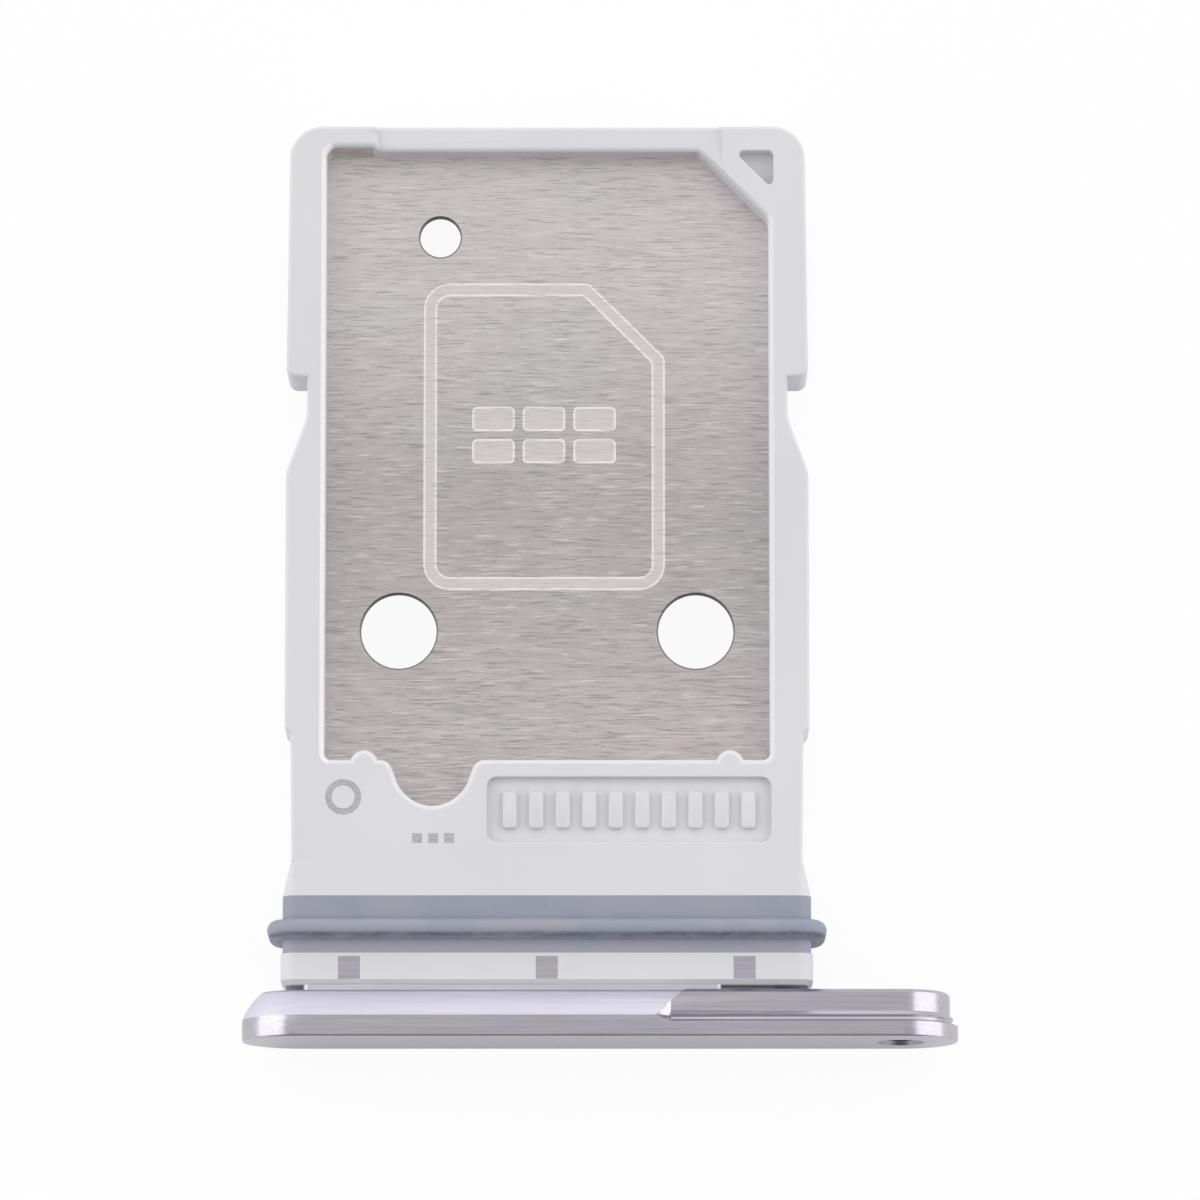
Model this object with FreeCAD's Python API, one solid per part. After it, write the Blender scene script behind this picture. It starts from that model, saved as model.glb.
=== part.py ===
import FreeCAD, Part
import math
import os

os.makedirs("parts", exist_ok=True)

Vector = FreeCAD.Vector

# SIM card tray: a steel floor plate moulded into a plastic frame, a seal moulded around its neck and a
# metal end cap. All lengths are millimetres. While a piece is modelled, X runs from the tray's centre
# line, Y from the back of the end cap towards the tip, and Z from the middle of the floor plate.

# Card that the tray carries, and its room in the pocket
card_width = 8.80
card_length = 12.30
card_thickness = 0.67
card_side_clearance = 0.06
card_top_clearance = 0.05

# Card pocket, one in each face
pocket_corner_cut = 1.40
pocket_corner_radius = 0.14
pocket_cut_radius = 0.16
pocket_lead_in = 0.10
relief_depth = 0.09
relief_corner_radius = 0.22
nub_radius = 0.28
nub_height = 0.20
nub_from_side = 0.80
finger_notch_width = 1.74
finger_notch_depth = 0.925
finger_notch_lean = 20.0
finger_notch_flat = 0.02
finger_notch_shoulder = 0.24
finger_notch_offset = 2.295

# Steel floor plate
plate_thickness = 0.20
plate_embed = 0.25
plate_tail = 1.63
plate_corner_radius = 0.50
small_hole_diameter = 0.82
small_hole_offset = 2.17
small_hole_to_pocket_top = 1.64
large_hole_diameter = 1.52
large_hole_pitch = 5.97
large_hole_to_pocket_bottom = 2.705

# Plastic frame
rail_width = 0.79
tip_rail_width = 0.51
tip_taper = 0.06
tip_corner_radius = 0.65
edge_radius = 0.08
tip_dip_depth = 0.10
tip_dip_width = 6.82
tip_dip_slope = 0.12
notch_depth = 0.42
notch_flat = 0.81
notch_ramp_length = 1.12
notch_end_from_tip = 5.16
notch_outer_radius = 0.20
notch_ramp_radius = 0.90
waist_inset = 0.12
waist_ramp = 0.14
waist_above_pocket_bottom = 0.57
waist_radius = 0.10
web_width = 0.42
web_recess_depth = 0.30
web_recess_radius = 0.10
legend_panel_width = 5.69
legend_panel_height = 1.31
legend_panel_depth = 0.15
legend_panel_radius = 0.20
legend_panel_offset = 1.64
legend_panel_to_pocket = 0.36

# Neck, seal and foot
neck_length = 2.74
neck_taper = 0.03
neck_straight = 0.30
neck_bend_radius = 15.0
neck_corner_radius = 0.30
flare_length = 0.70
seal_length = 1.15
seal_width = 10.55
seal_wall = 0.22
bead_width = 0.39
bead_height = 0.31
bead_crest_flat = 0.01
bead_from_front = 0.475
foot_length = 0.63
foot_width = 10.62
foot_front_chamfer = 0.10

# End cap
cap_length = 14.31
cap_height = 2.30
cap_depth = 0.97
cap_offset = 1.06
cap_front_radius = 0.05
cap_shoulder_depth = 0.54
cap_shoulder_radius = 1.25
cap_shoulder_angle = 20.0
cap_tier_inset = 0.16
cap_tier_front = 0.31
cap_lip_width = 0.045
cap_groove_width = 0.095
cap_groove_depth = 0.03
cap_ridge_width = 0.08
cap_ridge_height = 0.07
cap_back_chamfer = 0.06
cap_block_start = 2.47
cap_block_runout = 0.28
cap_ramp_run = 0.30
pad_width = 8.34
pad_height = 1.50
pad_length = 0.11
pad_offset = -0.68
pad_corner_radius = 0.10
tongue_width = 9.10
tongue_thickness = 0.60
tongue_length = 2.40
boss_width = 0.44
boss_length = 0.47
boss_pitch = 3.94
boss_from_foot_front = 0.09
boss_sink = 0.02
pin_hole_diameter = 0.80
pin_hole_chamfer = 0.08

# How far a cut runs past what it cuts, and how near two points count as one
cut_margin = 1.0
same_point = 0.00001

# Sizes that follow from those above
pocket_width = card_width + 2 * card_side_clearance
pocket_length = card_length + 2 * card_side_clearance
pocket_depth = card_thickness + card_top_clearance
body_thickness = plate_thickness + 2 * pocket_depth
body_width = pocket_width + 2 * rail_width
deck_z = body_thickness / 2
plate_top_z = plate_thickness / 2
foot_front_y = pad_length
seal_front_y = foot_front_y + foot_length
seal_back_y = seal_front_y + seal_length
flare_end_y = seal_back_y + flare_length
pocket_bottom_y = seal_back_y + neck_length
pocket_top_y = pocket_bottom_y + pocket_length
tip_y = pocket_top_y + tip_rail_width
waist_width = body_width - 2 * waist_inset
neck_width = waist_width - 2 * neck_taper
core_width = seal_width - 2 * seal_wall
core_thickness = body_thickness - 2 * seal_wall
core_radius = neck_corner_radius - seal_wall
overall_length = cap_depth + tip_y
cap_arc_radius = cap_height / 2
cap_arc_x = cap_offset + cap_length / 2 - cap_arc_radius


def rounded_wire(corners, plane_point):
    """Closed outline of straight edges joined by tangent arcs. A corner is (u, v, radius)."""
    points = [Vector(u, v, 0) for u, v, radius in corners]
    radii = [corner[2] for corner in corners]
    count = len(corners)
    ends = []
    arcs = []
    for i in range(count):
        corner = points[i]
        back = (points[i - 1] - corner).normalize()
        ahead = (points[(i + 1) % count] - corner).normalize()
        half_angle = back.getAngle(ahead) / 2
        if radii[i] == 0:
            ends.append((corner, corner))
            arcs.append(None)
            continue
        reach = radii[i] / math.tan(half_angle)
        to_centre = (back + ahead).normalize()
        middle = corner + to_centre * (radii[i] / math.sin(half_angle) - radii[i])
        start = corner + back * reach
        finish = corner + ahead * reach
        ends.append((start, finish))
        arcs.append(middle)
    edges = []
    for i in range(count):
        start, finish = ends[i]
        if arcs[i] is not None:
            arc = Part.Arc(plane_point(start), plane_point(arcs[i]), plane_point(finish))
            edges.append(arc.toShape())
        following = ends[(i + 1) % count][0]
        if not finish.isEqual(following, same_point):
            edges.append(Part.makeLine(plane_point(finish), plane_point(following)))
    return Part.Wire(edges)


def plan_prism(corners, z_low, z_high):
    """Outline in plan, extruded between two heights."""
    wire = rounded_wire(corners, lambda p: Vector(p.x, p.y, z_low))
    return Part.Face(wire).extrude(Vector(0, 0, z_high - z_low))


def side_prism(corners, x_low, x_high):
    """Outline of (y, z) corners, extruded along X."""
    wire = rounded_wire(corners, lambda p: Vector(x_low, p.x, p.y))
    return Part.Face(wire).extrude(Vector(x_high - x_low, 0, 0))


def front_prism(corners, y_low, y_high):
    """Outline of (x, z) corners, extruded along Y."""
    wire = rounded_wire(corners, lambda p: Vector(p.x, y_low, p.y))
    return Part.Face(wire).extrude(Vector(0, y_high - y_low, 0))


def rectangle(width, height, radius, centre_u=0.0, centre_v=0.0):
    """Corners of a rounded rectangle, counter-clockwise."""
    u = width / 2
    v = height / 2
    signs = [(-1, -1), (1, -1), (1, 1), (-1, 1)]
    return [(centre_u + a * u, centre_v + b * v, radius) for a, b in signs]


def bar(width, height, radius, y_low, y_high, centre_x=0.0):
    """Bar of rounded rectangular section along Y."""
    return front_prism(rectangle(width, height, radius, centre_x), y_low, y_high)


def section(width, height, radius, y):
    """Rounded rectangular section across the tray."""
    return rounded_wire(rectangle(width, height, radius), lambda p: Vector(p.x, y, p.y))


def both_faces(shape):
    """A shape together with its mirror image on the tray's other face."""
    return shape.fuse(shape.mirror(Vector(0, 0, 0), Vector(0, 0, 1)))


def edges_where(shape, test):
    """Edges of a shape whose middle and both ends pass a test."""
    found = []
    for edge in shape.Edges:
        middle = edge.valueAt((edge.FirstParameter + edge.LastParameter) / 2)
        points = [vertex.Point for vertex in edge.Vertexes] + [middle]
        if all(test(point) for point in points):
            found.append(edge)
    return found


def at_height(point, height):
    """True where a point lies on either face at a height from the middle plane."""
    return abs(abs(point.z) - height) < same_point


def side_corners(side):
    """Plan corners of one side of the frame from the neck to the tip, for side 1 or -1."""
    half = body_width / 2
    waist_y = pocket_bottom_y + waist_above_pocket_bottom
    notch_end_y = tip_y - notch_end_from_tip
    ramp_top_y = notch_end_y - notch_flat
    ramp_foot_y = ramp_top_y - notch_ramp_length
    corners = [
        (neck_width / 2, flare_end_y, 0),
        (neck_width / 2, flare_end_y + neck_straight, neck_bend_radius),
        (waist_width / 2, waist_y - waist_ramp / 2, waist_radius),
        (half, waist_y + waist_ramp / 2, waist_radius),
        (half, ramp_foot_y, notch_ramp_radius),
        (half - notch_depth, ramp_top_y, notch_ramp_radius),
        (half - notch_depth, notch_end_y, 0),
        (half, notch_end_y, notch_outer_radius),
        (half - tip_taper, tip_y, tip_corner_radius),
    ]
    return [(side * x, y, radius) for x, y, radius in corners]


def pocket_corners():
    """Plan corners of the card pocket with its cut corner and finger notch."""
    half = pocket_width / 2
    notch_half = finger_notch_width / 2
    lean = math.radians(finger_notch_lean)
    floor_half = notch_half - finger_notch_depth * math.tan(lean)
    notch_radius = (floor_half - finger_notch_flat / 2) / math.tan((math.pi / 2 - lean) / 2)
    notch_bottom_y = pocket_bottom_y - finger_notch_depth
    return [
        (-half, pocket_bottom_y, pocket_corner_radius),
        (-finger_notch_offset - notch_half, pocket_bottom_y, finger_notch_shoulder),
        (-finger_notch_offset - floor_half, notch_bottom_y, notch_radius),
        (-finger_notch_offset + floor_half, notch_bottom_y, notch_radius),
        (-finger_notch_offset + notch_half, pocket_bottom_y, finger_notch_shoulder),
        (half, pocket_bottom_y, pocket_corner_radius),
        (half, pocket_top_y - pocket_corner_cut, pocket_cut_radius),
        (half - pocket_corner_cut, pocket_top_y, pocket_cut_radius),
        (-half, pocket_top_y, relief_corner_radius),
    ]


def pocket_relief():
    """Tapered room beside the tip's dip: nothing at the plate, its full depth at the face."""
    wires = []
    for z, depth in ((plate_top_z, 0), (deck_z, relief_depth), (deck_z + cut_margin, relief_depth)):
        corners = [
            (-pocket_width / 2, pocket_top_y - cut_margin, 0),
            (-tip_dip_width / 2, pocket_top_y - cut_margin, 0),
            (-tip_dip_width / 2, pocket_top_y + depth, pocket_corner_radius),
            (-pocket_width / 2, pocket_top_y + depth, relief_corner_radius),
        ]
        wires.append(rounded_wire(corners, lambda p: Vector(p.x, p.y, z)))
    return Part.makeLoft(wires, True, True)


def pocket_tool():
    """Space of one card pocket, with the two nubs that grip the card's end left standing."""
    tool = plan_prism(pocket_corners(), 0, deck_z + cut_margin).fuse(pocket_relief())
    for side in (-1, 1):
        x = side * (pocket_width / 2 - nub_from_side)
        foot = Vector(x, pocket_bottom_y + nub_height - nub_radius, -cut_margin)
        nub = Part.makeCylinder(nub_radius, deck_z + 3 * cut_margin, foot)
        tool = tool.cut(nub)
    return tool


def web_recess():
    """Blind triangular recess behind the web of the pocket's cut corner."""
    leg = pocket_corner_cut - web_width * math.sqrt(2)
    x = pocket_width / 2 + pocket_lead_in
    corners = [
        (x, pocket_top_y - leg, web_recess_radius),
        (x, pocket_top_y, web_recess_radius),
        (x - leg, pocket_top_y, web_recess_radius),
    ]
    return plan_prism(corners, deck_z - web_recess_depth, deck_z + cut_margin)


def tip_dip():
    """Space above the lowered middle of the tip rail, whose two long edges are rounded."""
    low = deck_z - tip_dip_depth
    above = deck_z + cut_margin
    profile = [
        (pocket_top_y - cut_margin, above, 0),
        (pocket_top_y - cut_margin, low - pocket_lead_in, 0),
        (pocket_top_y, low - pocket_lead_in, 0),
        (pocket_top_y, low, pocket_lead_in),
        (tip_y, low, edge_radius),
        (tip_y, low - edge_radius, 0),
        (tip_y + cut_margin, low - edge_radius, 0),
        (tip_y + cut_margin, above, 0),
    ]
    reach = tip_dip_width / 2
    outer = reach + tip_dip_slope * (1 + cut_margin / tip_dip_depth)
    inner = reach - tip_dip_slope * cut_margin / tip_dip_depth
    mouth = [
        (-outer, low + tip_dip_depth + cut_margin, 0),
        (-inner, low - cut_margin, 0),
        (inner, low - cut_margin, 0),
        (outer, low + tip_dip_depth + cut_margin, 0),
    ]
    along = side_prism(profile, -outer, outer)
    across = front_prism(mouth, pocket_top_y - cut_margin, tip_y + cut_margin)
    return along.common(across)


def legend_panel():
    """Space of the shallow sunk panel beside the finger notch."""
    centre_y = pocket_bottom_y - legend_panel_to_pocket - legend_panel_height / 2
    corners = rectangle(
        legend_panel_width, legend_panel_height, legend_panel_radius, legend_panel_offset, centre_y
    )
    return plan_prism(corners, deck_z - legend_panel_depth, deck_z + cut_margin)


def flare():
    """Neck collar that widens to the seal while its long edges grow round."""
    neck_end = section(neck_width, body_thickness, edge_radius, flare_end_y)
    seal_end = section(seal_width, body_thickness, neck_corner_radius, seal_back_y)
    return Part.makeLoft([seal_end, neck_end], True, True)


def foot():
    """Solid foot between the seal and the end cap, chamfered along its front edge."""
    block = bar(foot_width, body_thickness, neck_corner_radius, foot_front_y, seal_front_y)
    rim = edges_where(block, lambda p: abs(p.y - foot_front_y) < same_point)
    return block.makeChamfer(foot_front_chamfer, rim)


def deck():
    """The frame's flat part with both card pockets, before the neck is added."""
    right = side_corners(1)
    left = side_corners(-1)
    slab = plan_prism(right + left[::-1], -deck_z, deck_z)
    outline = edges_where(slab, lambda p: at_height(p, deck_z))
    end_edges = edges_where(slab, lambda p: abs(p.y - flare_end_y) < same_point)
    rounded = [edge for edge in outline if not any(edge.isSame(other) for other in end_edges)]
    slab = slab.makeFillet(edge_radius, rounded)
    slab = slab.cut(both_faces(pocket_tool()))
    inner_x = body_width / 2 - notch_depth - edge_radius
    pocket_rims = edges_where(
        slab,
        lambda p: at_height(p, deck_z) and abs(p.x) < inner_x and flare_end_y < p.y < tip_y - edge_radius,
    )
    return slab.makeChamfer(pocket_lead_in, pocket_rims)


def plate_blank():
    """The floor plate before it is punched: the pocket floor and the rim inside the plastic."""
    low = pocket_bottom_y - plate_tail
    high = pocket_top_y + plate_embed
    width = pocket_width + 2 * plate_embed
    corners = rectangle(width, high - low, plate_corner_radius, 0, (low + high) / 2)
    return plan_prism(corners, -plate_top_z, plate_top_z)


def floor_plate():
    """Stamped plate with one small hole and a pair of large holes."""
    large_y = pocket_bottom_y + large_hole_to_pocket_bottom
    holes = [
        (-small_hole_offset, pocket_top_y - small_hole_to_pocket_top, small_hole_diameter),
        (-large_hole_pitch / 2, large_y, large_hole_diameter),
        (large_hole_pitch / 2, large_y, large_hole_diameter),
    ]
    plate = plate_blank()
    for x, y, diameter in holes:
        punch = Part.makeCylinder(diameter / 2, 2 * cut_margin, Vector(x, y, -cut_margin))
        plate = plate.cut(punch)
    return plate


def tray_frame(metal_inserts):
    """Plastic frame moulded around the floor plate's rim and the end cap's tongue."""
    core = bar(core_width, core_thickness, core_radius, seal_front_y, seal_back_y)
    frame = deck().fuse([flare(), core, foot()])
    frame = frame.cut(both_faces(web_recess()))
    frame = frame.cut([tip_dip(), legend_panel()] + metal_inserts)
    return frame.removeSplitter()


def neck_seal():
    """Silicone band around the neck with one full-round bead."""
    band = bar(seal_width, body_thickness, neck_corner_radius, seal_front_y, seal_back_y)
    bead_y = seal_front_y + bead_from_front
    bead = bar(
        seal_width + 2 * bead_height,
        body_thickness + 2 * bead_height,
        neck_corner_radius + bead_height,
        bead_y - bead_width / 2,
        bead_y + bead_width / 2,
    )
    rims = edges_where(bead, lambda p: abs(abs(p.y - bead_y) - bead_width / 2) < same_point)
    bead = bead.makeFillet((bead_width - bead_crest_flat) / 2, rims)
    core = bar(core_width, core_thickness, core_radius, seal_front_y, seal_back_y)
    return band.fuse(bead).cut(core).removeSplitter()


def cap_section(inset, y):
    """Stadium section of the cap, smaller all round by an inset."""
    radius = cap_arc_radius - inset
    left = 2 * cap_offset - cap_arc_x
    ends = [
        Part.makeLine(Vector(left, y, -radius), Vector(cap_arc_x, y, -radius)),
        Part.Arc(
            Vector(cap_arc_x, y, -radius), Vector(cap_arc_x + radius, y, 0), Vector(cap_arc_x, y, radius)
        ).toShape(),
        Part.makeLine(Vector(cap_arc_x, y, radius), Vector(left, y, radius)),
        Part.Arc(Vector(left, y, radius), Vector(left - radius, y, 0), Vector(left, y, -radius)).toShape(),
    ]
    return Part.Wire(ends)


def cap_stack(stations):
    """Solid through cap sections, each given as (distance from the front face, inset)."""
    wires = [cap_section(inset, distance - cap_depth) for distance, inset in stations]
    return Part.makeLoft(wires, True, True)


def shoulder_run(inset):
    """How far behind its front edge the cap's round shoulder has come in by an inset."""
    start = math.radians(cap_shoulder_angle)
    cosine = math.cos(start) - inset / cap_shoulder_radius
    return cap_shoulder_radius * (math.sqrt(1 - cosine ** 2) - math.sin(start))


def cap_shouldered():
    """Cap with the wide round shoulder, as flats that meet the lower tier's height on one line."""
    start = math.radians(cap_shoulder_angle)
    sine = math.sin(start) + cap_shoulder_depth / cap_shoulder_radius
    full_inset = cap_shoulder_radius * (math.cos(start) - math.sqrt(1 - sine ** 2))
    middle_inset = (cap_tier_inset + full_inset) / 2
    shoulder_front = cap_depth - cap_shoulder_depth
    stations = [(0, 0)]
    for inset in (0, cap_tier_inset / 2, cap_tier_inset, middle_inset, full_inset):
        stations.append((shoulder_front + shoulder_run(inset), inset))
    return cap_stack(stations)


def cap_stepped():
    """Cap with the lower rear tier, and the fine groove and ridge in front of it."""
    lip = cap_tier_front + cap_lip_width
    groove_inset = cap_tier_inset - cap_ridge_height + cap_groove_depth
    groove = lip + cap_groove_width / 2
    ridge = lip + cap_groove_width
    tier = ridge + cap_ridge_width
    return cap_stack([
        (0, 0),
        (cap_tier_front, 0),
        (lip, groove_inset - cap_groove_depth / 2),
        (groove, groove_inset),
        (ridge, cap_tier_inset - cap_ridge_height),
        (tier, cap_tier_inset),
        (cap_depth - cap_back_chamfer, cap_tier_inset),
        (cap_depth, cap_tier_inset + cap_back_chamfer),
    ])


def cap_ramp(crossing):
    """Three-sided facet where the steps run out, and the steep wall in front of it."""
    start_x = cap_block_start - cap_ramp_run
    crease_y = -cap_shoulder_depth
    wall_y = cap_tier_front - cap_depth
    top = cap_arc_radius
    low = cap_arc_radius - cap_tier_inset
    facet_side = [(start_x, top, 0), (cap_block_start, low, 0), (cap_block_start, top, 0)]
    facet_plan = [(start_x, crease_y, 0), (cap_block_start, crease_y, 0), (cap_block_start, crossing, 0)]
    facet = front_prism(facet_side, -cap_depth, 0).common(plan_prism(facet_plan, 0, cap_height))
    wall_end = rounded_wire(
        [(wall_y, top, 0), (crease_y, top, 0), (crease_y, low, 0)],
        lambda p: Vector(cap_block_start, p.x, p.y),
    )
    wall = Part.makeLoft([Part.Vertex(start_x, crease_y, top), wall_end], True, True)
    return facet.fuse(wall)


def cap_body():
    """The cap's outer form, round-shouldered on one side and stepped on the other."""
    crossing = shoulder_run(cap_tier_inset) - cap_shoulder_depth
    far_x = cap_offset + cap_length
    reach = cap_height
    stepped_side = [
        (cap_block_start, -cap_depth - reach, 0),
        (far_x, -cap_depth - reach, 0),
        (far_x, reach, 0),
        (cap_block_start + cap_block_runout, reach, 0),
        (cap_block_start + cap_block_runout, 0, 0),
        (cap_block_start, crossing, 0),
    ]
    zone = plan_prism(stepped_side, -reach, reach)
    shouldered = cap_shouldered().cut([zone, both_faces(cap_ramp(crossing))])
    return shouldered.fuse(cap_stepped().common(zone))


def locating_bosses():
    """Square bosses on both faces of the tongue, that show in the foot."""
    y_low = foot_front_y + boss_from_foot_front
    top = deck_z - boss_sink
    bosses = []
    for step in (-1, 0, 1):
        corners = rectangle(boss_width, boss_length, 0, step * boss_pitch, y_low + boss_length / 2)
        bosses.append(plan_prism(corners, -top, top))
    return bosses


def end_cap():
    """Machined cap with its back pad, the tongue inside the foot and the eject-pin hole."""
    body = cap_body()
    front = edges_where(body, lambda p: abs(p.y + cap_depth) < same_point)
    body = body.makeFillet(cap_front_radius, front)
    pad = bar(pad_width, pad_height, pad_corner_radius, -cap_shoulder_depth, pad_length, pad_offset)
    tongue = bar(tongue_width, tongue_thickness, 0, -cap_shoulder_depth, tongue_length)
    body = body.fuse([pad, tongue] + locating_bosses())
    mouth = Vector(cap_arc_x, -cap_depth - cut_margin, 0)
    along = Vector(0, 1, 0)
    pin_hole = Part.makeCylinder(pin_hole_diameter / 2, cap_depth + 2 * cut_margin, mouth, along)
    face_centre = Vector(cap_arc_x, -cap_depth, 0)
    rim_radius = pin_hole_diameter / 2 + pin_hole_chamfer
    countersink = Part.makeCone(rim_radius, pin_hole_diameter / 2, pin_hole_chamfer, face_centre, along)
    return body.cut([pin_hole, countersink]).removeSplitter()


def placed(shape):
    """Moves a piece so that the origin is at the middle of the whole tray's underside."""
    moved = shape.copy()
    moved.translate(Vector(-cap_offset, cap_depth - overall_length / 2, cap_arc_radius))
    return moved


plate = floor_plate()
cap = end_cap()
pieces = {
    "floor_plate": plate,
    "tray_frame": tray_frame([plate_blank(), cap]),
    "neck_seal": neck_seal(),
    "end_cap": cap,
}

for name, shape in pieces.items():
    piece = placed(shape)
    piece.exportStep("parts/" + name + ".step")
    box = piece.BoundBox
    print(name, len(piece.Solids), "solid", round(piece.Volume, 4), "mm3", piece.isValid())
    print("  x", round(box.XMin, 3), round(box.XMax, 3), "y", round(box.YMin, 3), round(box.YMax, 3),
          "z", round(box.ZMin, 3), round(box.ZMax, 3))
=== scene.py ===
import math

import bmesh
import bpy
from mathutils import Matrix, Vector


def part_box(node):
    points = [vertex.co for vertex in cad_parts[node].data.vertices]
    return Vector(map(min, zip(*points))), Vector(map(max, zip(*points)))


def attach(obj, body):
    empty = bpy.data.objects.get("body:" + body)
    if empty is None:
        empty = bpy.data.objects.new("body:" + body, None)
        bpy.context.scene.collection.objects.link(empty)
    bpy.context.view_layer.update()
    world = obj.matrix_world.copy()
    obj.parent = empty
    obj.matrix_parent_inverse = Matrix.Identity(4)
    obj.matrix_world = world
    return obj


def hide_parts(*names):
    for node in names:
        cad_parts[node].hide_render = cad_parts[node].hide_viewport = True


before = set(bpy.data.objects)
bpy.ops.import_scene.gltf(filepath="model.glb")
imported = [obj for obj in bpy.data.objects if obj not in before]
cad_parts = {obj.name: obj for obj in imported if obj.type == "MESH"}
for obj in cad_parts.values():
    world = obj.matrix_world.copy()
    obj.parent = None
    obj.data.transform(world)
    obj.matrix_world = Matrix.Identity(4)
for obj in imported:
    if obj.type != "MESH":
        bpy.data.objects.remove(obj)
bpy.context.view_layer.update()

# Floor plate: a stamped stainless steel sheet, brushed across, that the card lies on. Its rim is held in
# the plastic that is moulded around it. Three holes are punched through it, and the outline of a card with
# six contacts is etched on top.
MM = 0.001
frame_low, frame_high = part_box("tray_frame")
plate_low, plate_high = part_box("floor_plate")
pad_length = 0.11
# Pieces are drawn in millimetres: x from the tray's centre line, y from the cap's back, which a pad holds
# off the frame, and z from mid-plate.
origin = Vector((
    (frame_low.x + frame_high.x) / 2,
    frame_low.y - pad_length * MM,
    (plate_low.z + plate_high.z) / 2,
))
to_metres = Matrix.Translation(origin) @ Matrix.Scale(MM, 4)
plate_low = (plate_low - origin) / MM
plate_high = (plate_high - origin) / MM
frame_high = (frame_high - origin) / MM
tip_y = frame_high.y
plate_top = plate_high.z

pocket_length = 12.42
tip_rail_width = 0.51
pocket_top_y = tip_y - tip_rail_width
pocket_bottom_y = pocket_top_y - pocket_length
plate_corner_radius = 0.50
punched_holes = (
    (-2.17, pocket_top_y - 1.64, 0.41),
    (-2.985, pocket_bottom_y + 2.705, 0.76),
    (2.985, pocket_bottom_y + 2.705, 0.76),
)
hole_facets = 64
fewest_arc_steps = 4
arc_steps_a_mm = 12
same_point = 0.0001
flat_angle = math.radians(1)
sharp_angle = math.radians(40)
hole_roll = 0.03
soft_steps = 3
etched_left = -2.50
etched_right = 2.37
etched_low = pocket_bottom_y + 3.54
etched_high = pocket_bottom_y + 9.83
etched_band = 0.27
etched_radius = 0.53
etched_cut = 1.53
etched_cut_radius = 0.15
etched_border = 0.04
etched_sink = 0.004
scratch_depth = 0.0010
scratch_sway = 0.07
glint_share = 0.55
frost_share = 0.6
hole_shade_share = 0.8
sheen_above_y = pocket_top_y - 2.7
dimming_above_y = pocket_bottom_y + 3.4
dimming_below_y = pocket_top_y - 6.6
plain_below_y = pocket_bottom_y + 1.1
wall_light_margin = 0.30
sheen_share = 0.28
dimming_share = 0.30
wall_light_share = 0.50
sheen_cover = 0.35
dull_steel = ((0.570, 0.530, 0.533, 1), (0.592, 0.532, 0.538, 1))
clear_steel = ((0.645, 0.602, 0.606, 1), (0.668, 0.602, 0.610, 1))
dimmed_steel_colour = (0.42, 0.39, 0.39, 1)
sheen_steel_colour = (0.86, 0.82, 0.82, 1)
wall_light_steel_colour = (0.92, 0.87, 0.88, 1)
groove_colour = (0.41, 0.38, 0.38, 1)
glint_colour = (0.87, 0.83, 0.83, 1)
frost_colours = ((0.715, 0.665, 0.670, 1), (0.560, 0.515, 0.525, 1))
ridge_colours = ((0.920, 0.880, 0.870, 1), (0.660, 0.620, 0.620, 1))
hole_shade_grey = 0.12
sheet_roughness = 0.36
soft_roughness = 0.08
etched_roughness = 0.12
contacts_centre = (-0.07, pocket_bottom_y + 6.71)
contact_columns = 3
contact_rows = 2
contact_size = (0.86, 0.50)
contact_gap = 0.16
contact_radius = 0.10


def level(z):
    """Places a flat drawing in plan at a height z."""
    return Matrix.Translation((0, 0, z))


def once(items):
    """The items without repeats, in the order in which they first come."""
    return list(dict.fromkeys(items))


def outline(bm, corners, place, facets=None):
    """Edges of a closed outline. A corner is (u, v, radius), and place puts the drawing in space."""
    points = [Vector((u, v)) for u, v, radius in corners]
    verts = [bm.verts.new((point.x, point.y, 0)) for point in points]
    bm.faces.new(verts)
    ring = []
    for i, vert in enumerate(verts):
        radius = corners[i][2]
        if radius == 0:
            ring.append(vert)
            continue
        to_last = points[i - 1] - points[i]
        to_next = points[(i + 1) % len(points)] - points[i]
        reach = radius / math.tan(to_last.angle(to_next) / 2)
        steps = facets or fewest_arc_steps + round(arc_steps_a_mm * radius)
        arc = bmesh.ops.bevel(
            bm, geom=[vert], offset=reach, segments=steps, profile=0.5, affect="VERTICES",
            material=-1, clamp_overlap=False,
        )
        ring += arc["verts"]
    bmesh.ops.remove_doubles(bm, verts=once(ring), dist=same_point)
    ring = once(vert for vert in ring if vert.is_valid)
    bmesh.ops.transform(bm, matrix=place, verts=ring)
    edges = once(edge for vert in ring for edge in vert.link_edges)
    faces = once(face for edge in edges for face in edge.link_faces)
    bmesh.ops.delete(bm, geom=faces, context="FACES_ONLY")
    return edges


def circle(bm, x, y, radius, place, facets=hole_facets):
    """Edges of a round outline."""
    made = bmesh.ops.create_circle(bm, segments=facets, radius=radius, matrix=Matrix.Translation((x, y, 0)))
    bmesh.ops.transform(bm, matrix=place, verts=made["verts"])
    return once(edge for vert in made["verts"] for edge in vert.link_edges)


def rectangle(width, height, radius, u=0.0, v=0.0):
    """Corners of a rounded rectangle about (u, v)."""
    a = width / 2
    b = height / 2
    return [(u - a, v - b, radius), (u + a, v - b, radius), (u + a, v + b, radius), (u - a, v + b, radius)]


def fill(bm, *outlines, up=(0, 0, 1)):
    """Flat faces between outlines, looking along up. An outline inside another is a hole in it."""
    others = set(bm.faces)
    rims = once(edge for one in outlines for edge in one)
    bmesh.ops.triangle_fill(bm, use_beauty=True, use_dissolve=False, edges=rims, normal=up)
    borders = set(rims)
    filled = [face for face in bm.faces if face not in others]
    inner = once(edge for face in filled for edge in face.edges if edge not in borders)
    bmesh.ops.dissolve_limit(
        bm, angle_limit=flat_angle, use_dissolve_boundaries=False, verts=[], edges=inner, delimit=set()
    )
    return [face for face in bm.faces if face not in others]


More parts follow.
